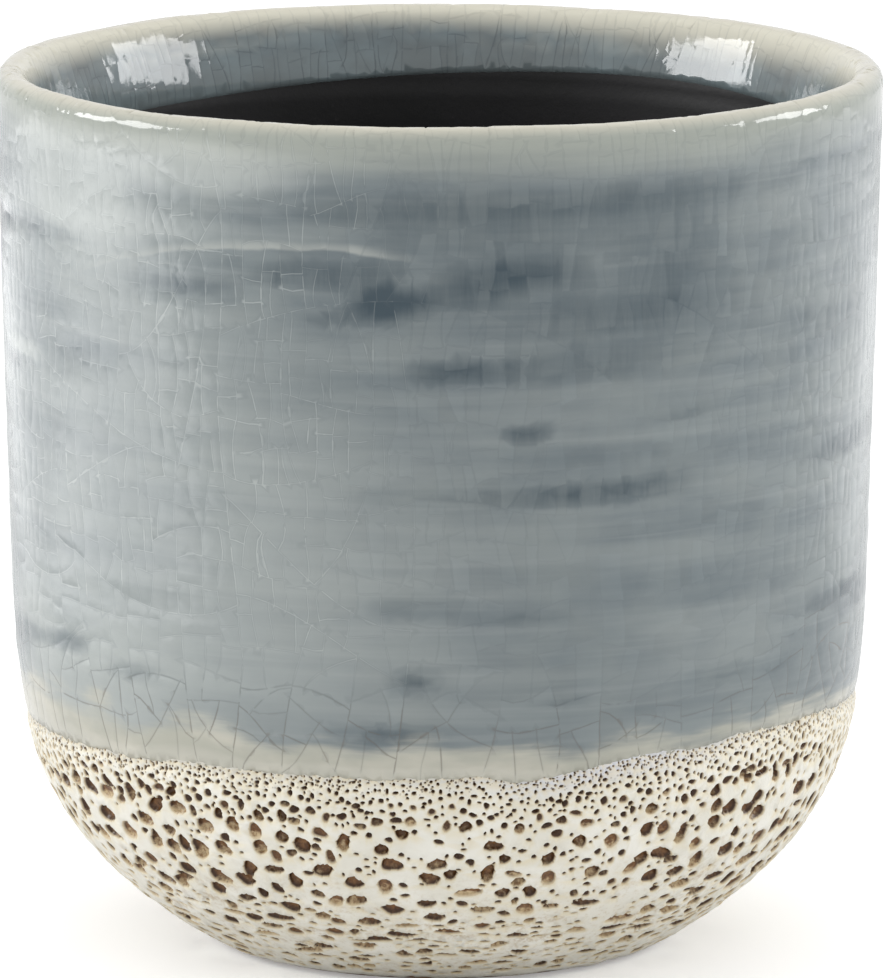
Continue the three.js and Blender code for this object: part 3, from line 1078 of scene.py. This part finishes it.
def clay_finish():
    material, start = finish("stoneware")
    grain = noise(start, 1.1, 1.1, 6.0, 0.7)
    clouds = noise(start, 0.06, 0.06)
    rings = noise(start, 0.05, 0.9, detail=2.0)
    clay = mix(step(clouds, 0.3, 0.7), (150, 118, 92), (172, 140, 110))
    clay = mix(step(grain, 0.62, 0.75), clay, (92, 66, 48))
    surface(start, Base_Color=clay, Roughness=0.78 + 0.16 * grain, Normal=bump(grain + rings, 0.5, 0.18))
    return material


def inner_finish():
    material, start = finish("inner_coat")
    grain = noise(start, 0.9, 0.9, 5.0, 0.65)
    clouds = noise(start, 0.05, 0.08)
    dark = mix(step(clouds, 0.3, 0.7), (18, 18, 19), (28, 27, 29))
    dark = mix(step(grain, 0.6, 0.8) * 0.5, dark, (48, 46, 46))
    surface(start, Base_Color=dark, Roughness=0.4 + 0.2 * grain, Specular_IOR_Level=0.35,
            Normal=bump(grain, 0.35, 0.12))
    return material


def placed(name, data):
    """A new object in the scene."""
    holder = bpy.data.objects.new(name, data)
    bpy.context.scene.collection.objects.link(holder)
    return holder


def turned_tree():
    """Turns an outline about the pot's axis, with ripples of the potter's fingers in its wall."""
    tree = bpy.data.node_groups.new("turned_piece", "GeometryNodeTree")
    inputs = {
        "Outline": "NodeSocketGeometry", "Segments": "NodeSocketInt", "Ripple Depth": "NodeSocketFloat",
        "Ripple Pitch": "NodeSocketFloat", "Material": "NodeSocketMaterial",
    }
    for name, kind in inputs.items():
        tree.interface.new_socket(name, in_out="INPUT", socket_type=kind)
    tree.interface.new_socket("Piece", in_out="OUTPUT", socket_type="NodeSocketGeometry")
    start = Wire(tree)
    group = tree.nodes.new("NodeGroupInput")
    given = {name: Wire(tree, group.outputs[name]) for name in inputs}

    rows = start.node("GeometryNodeAttributeDomainSize", sockets={"Geometry": given["Outline"]})
    grid = start.node("GeometryNodeMeshGrid", sockets={
        "Vertices X": given["Segments"] + 1, "Vertices Y": rows})
    index = start.node("GeometryNodeInputIndex")
    row = index % rows
    column = start.node("ShaderNodeMath", {"operation": "FLOOR"}, {0: (index + 0.5) / rows})
    position = start.node("GeometryNodeInputPosition")
    sampled = start.node("GeometryNodeSampleIndex", {"data_type": "FLOAT_VECTOR"}, {
        "Geometry": given["Outline"], "Value": position, "Index": row})
    radius = start.node("ShaderNodeSeparateXYZ", sockets={0: sampled})
    height = radius.also("Z")
    turn = column / given["Segments"] * (2 * math.pi)
    sine = start.node("ShaderNodeMath", {"operation": "SINE"}, {0: turn})
    cosine = start.node("ShaderNodeMath", {"operation": "COSINE"}, {0: turn})
    spot = start.node("ShaderNodeCombineXYZ", sockets={
        0: 0.4 * sine, 1: 0.4 * cosine, 2: height / given["Ripple Pitch"]})
    ripple = start.node("ShaderNodeTexNoise", {"noise_dimensions": "4D"}, {
        "Vector": spot, "W": 1.0, "Scale": 1.0, "Detail": 1.0})
    radius = radius * (1 + (ripple - 0.5) * given["Ripple Depth"])
    place = start.node("ShaderNodeCombineXYZ", sockets={0: radius * sine, 1: 0 - radius * cosine, 2: height})
    piece = start.node("GeometryNodeSetPosition", sockets={"Geometry": grid, "Position": place})
    piece = start.node("GeometryNodeMergeByDistance", sockets={"Geometry": piece, "Distance": 0.002 * MM})
    piece = start.node("GeometryNodeSetShadeSmooth", sockets={"Geometry": piece})
    piece = start.node("GeometryNodeRealizeInstances", sockets={"Geometry": piece})
    piece = start.node("GeometryNodeSetMaterial", sockets={
        "Geometry": piece, "Material": given["Material"]})
    start.node("NodeGroupOutput", sockets={"Piece": piece})
    return tree


def turned_piece(name, tree, outline, material, **sizes):
    """A turned piece as a plain mesh, from an outline in millimetres of radius and height."""
    draft = bpy.data.meshes.new(name + "_outline")
    draft.from_pydata([(radius * MM, 0, height * MM) for radius, height in outline], [], [])
    work = placed(name + "_draft", draft)
    turning = work.modifiers.new("turned", "NODES")
    turning.node_group = tree
    values = {"Segments": TURN_SEGMENTS, "Material": material, **sizes}
    for socket in tree.interface.items_tree:
        if socket.in_out == "INPUT" and socket.name in values:
            turning[socket.identifier] = values[socket.name]
    made = bpy.data.meshes.new_from_object(work.evaluated_get(bpy.context.evaluated_depsgraph_get()))
    made.name = name
    work.modifiers.remove(turning)
    bpy.data.objects.remove(work)
    return welded(made)


def clay_outline():
    """The clay from the middle of the foot recess, round the outside and back to the middle of the floor."""
    depth = CRACKLE_COAT + COAT_SEAT
    ring_inside = FOOT_RADIUS - FOOT_RING_WIDTH
    rim_places = np.linspace(along_at(2.4), LIP_ALONG, 100)
    floor = INNER_FLOOR - INNER_COAT - COAT_SEAT
    inner = inner_wall(WALL_THICKNESS - INNER_COAT - COAT_SEAT, floor)
    round_foot = bezier([(FOOT_RADIUS - 1.1, 0), (FOOT_RADIUS, 0), (FOOT_RADIUS + 0.2, 1.1)],
                        np.linspace(0, 1, 6))
    round_ring = bezier([
        (ring_inside - 0.9, FOOT_RECESS), (ring_inside - 0.3, FOOT_RECESS), (ring_inside, 1.0),
        (ring_inside + 0.1, 0), (ring_inside + 0.9, 0),
    ], np.linspace(0, 1, 9))
    return np.vstack([
        [(0, FOOT_RECESS), (ring_inside / 3, FOOT_RECESS), (ring_inside * 0.8, FOOT_RECESS)],
        round_ring,
        round_foot,
        SKIN.inset(rim_places, depth),
        inner[inner[:, 1] < POT_HEIGHT - LIP_DEPTH - 1.5],
        [(0, floor)],
    ])


def inner_outline():
    """The dark coat: its back on the clay, then its face from the floor up to the lip, as one closed run."""
    floor = INNER_FLOOR - INNER_COAT
    under_glaze = np.linspace(LIP_ALONG - 2.5, LIP_ALONG + 4, 14)
    top = SKIN.inset(under_glaze, 0.3 * (1 - smooth(under_glaze, LIP_ALONG, LIP_ALONG + 3.5)))
    face = inner_wall(WALL_THICKNESS, INNER_FLOOR)
    face = np.vstack([top, face[face[:, 1] < top[-1, 1] - 0.3]])
    back = inner_wall(WALL_THICKNESS - INNER_COAT, floor)
    back = back[back[:, 1] < face[0, 1]]
    return np.vstack([[(0, floor)], back[::-1], face, [(0, INNER_FLOOR)]])


def soft_light(name, width, height, brightness):
    """A rectangular lamp that the camera does not see."""
    lamp = bpy.data.lights.new(name, "AREA")
    lamp.shape = "RECTANGLE"
    lamp.size = width
    lamp.size_y = height
    lamp.energy = brightness * math.pi * width * height
    holder = placed(name, lamp)
    holder.visible_camera = False
    return holder


def softbox(name, azimuth, width, brightness):
    """A lamp at the side that faces the middle of the pot."""
    turn, rise = math.radians(azimuth), SOFTBOX_ELEVATION
    way = Vector((math.sin(turn) * math.cos(rise), -math.cos(turn) * math.cos(rise), math.sin(rise)))
    holder = soft_light(name, width, SOFTBOX_HEIGHT, brightness)
    holder.location = Vector((0, 0, POT_HEIGHT / 2 * MM)) + way * SOFTBOX_DISTANCE
    holder.rotation_euler = (-way).to_track_quat("-Z", "Y").to_euler()


def table_glow(name, across, back, depth, brightness):
    """Light that comes up from a part of the table."""
    holder = soft_light(name, GLOW_WIDTH, depth, brightness)
    holder.location = (across, back, GLOW_LEVEL)
    holder.rotation_euler = (math.pi, 0, 0)
    holder.visible_diffuse = False


def studio():
    """The pale table, the soft room light and the lamps to the left and right."""
    table = bpy.data.meshes.new("table")
    table.from_pydata([(-4, -4, 0), (4, -4, 0), (4, 4, 0), (-4, 4, 0)], [], [(0, 1, 2, 3)])
    material, start = finish("table")
    path = start.node("ShaderNodeLightPath")
    seen = path + path.also("Is Glossy Ray") + path.also("Is Transmission Ray")
    matt = start.node("ShaderNodeBsdfDiffuse", sockets={"Color": (0.88, 0.88, 0.88, 1)})
    strength = seen * 0.12 + path * 0.15
    glow = start.node("ShaderNodeEmission", sockets={"Color": (1, 1, 1, 1), "Strength": strength})
    both = start.node("ShaderNodeAddShader", sockets={0: matt, 1: glow})
    start.node("ShaderNodeOutputMaterial", sockets={"Surface": both})
    table.materials.append(material)
    holder = placed("table", table)

    room = bpy.data.worlds.new("room")
    room.use_nodes = True
    background = room.node_tree.nodes["Background"].inputs
    background["Color"].default_value = (1, 1, 1, 1)
    background["Strength"].default_value = 0.92
    bpy.context.scene.world = room
    softbox("left_softbox", -91, 0.64, 8.8)
    softbox("right_softbox", 97, 0.66, 7.2)
    table_glow("left_table_glow", -0.56, -0.02, 0.36, 2.4)
    table_glow("left_far_glow", -0.50, 0.38, 0.42, 0.9)
    table_glow("right_far_glow", 0.50, 0.38, 0.42, 0.5)


def camera():
    """The photo's view: from the front, a little above, with a long lens."""
    elevation = math.radians(10.86)
    distance = 1500.0
    pixels_per_mm = 6.29
    long_side = 978
    lens = bpy.data.cameras.new("camera")
    lens.lens = lens.sensor_width * distance * pixels_per_mm / long_side
    holder = placed("camera", lens)
    up = Vector((0, math.sin(elevation), math.cos(elevation)))
    back = Vector((0, -math.cos(elevation), math.sin(elevation)))
    aim = Vector((0.41, 0, 70)) + 1.46 * up
    holder.location = (aim + back * distance) * MM
    holder.rotation_euler = (-back).to_track_quat("-Z", "Y").to_euler()
    lens.clip_start = 0.05
    lens.clip_end = 50
    bpy.context.scene.camera = holder


def place_piece(mesh, node):
    """Puts a finished piece in the frame for the node that it stands for."""
    piece = placed(node + "_piece", mesh)
    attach(piece, "root")
    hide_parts(node)


bpy.context.scene.view_settings.view_transform = "Standard"
studio()
camera()

crackle = crackle_mesh()
crackle.materials.append(crackle_finish())
place_piece(crackle, "crackle_glaze")

craters = crater_mesh()
craters.materials.append(crater_finish())
place_piece(craters, "crater_glaze")

turning = turned_tree()
clay_sizes = {"Ripple Depth": 0.0, "Ripple Pitch": 0.01}
place_piece(turned_piece("clay_body", turning, clay_outline(), clay_finish(), **clay_sizes),
            "clay_body")
inner_sizes = {"Ripple Depth": 0.006, "Ripple Pitch": 0.006}
place_piece(turned_piece("inner_coat", turning, inner_outline(), inner_finish(), **inner_sizes),
            "inner_coat")
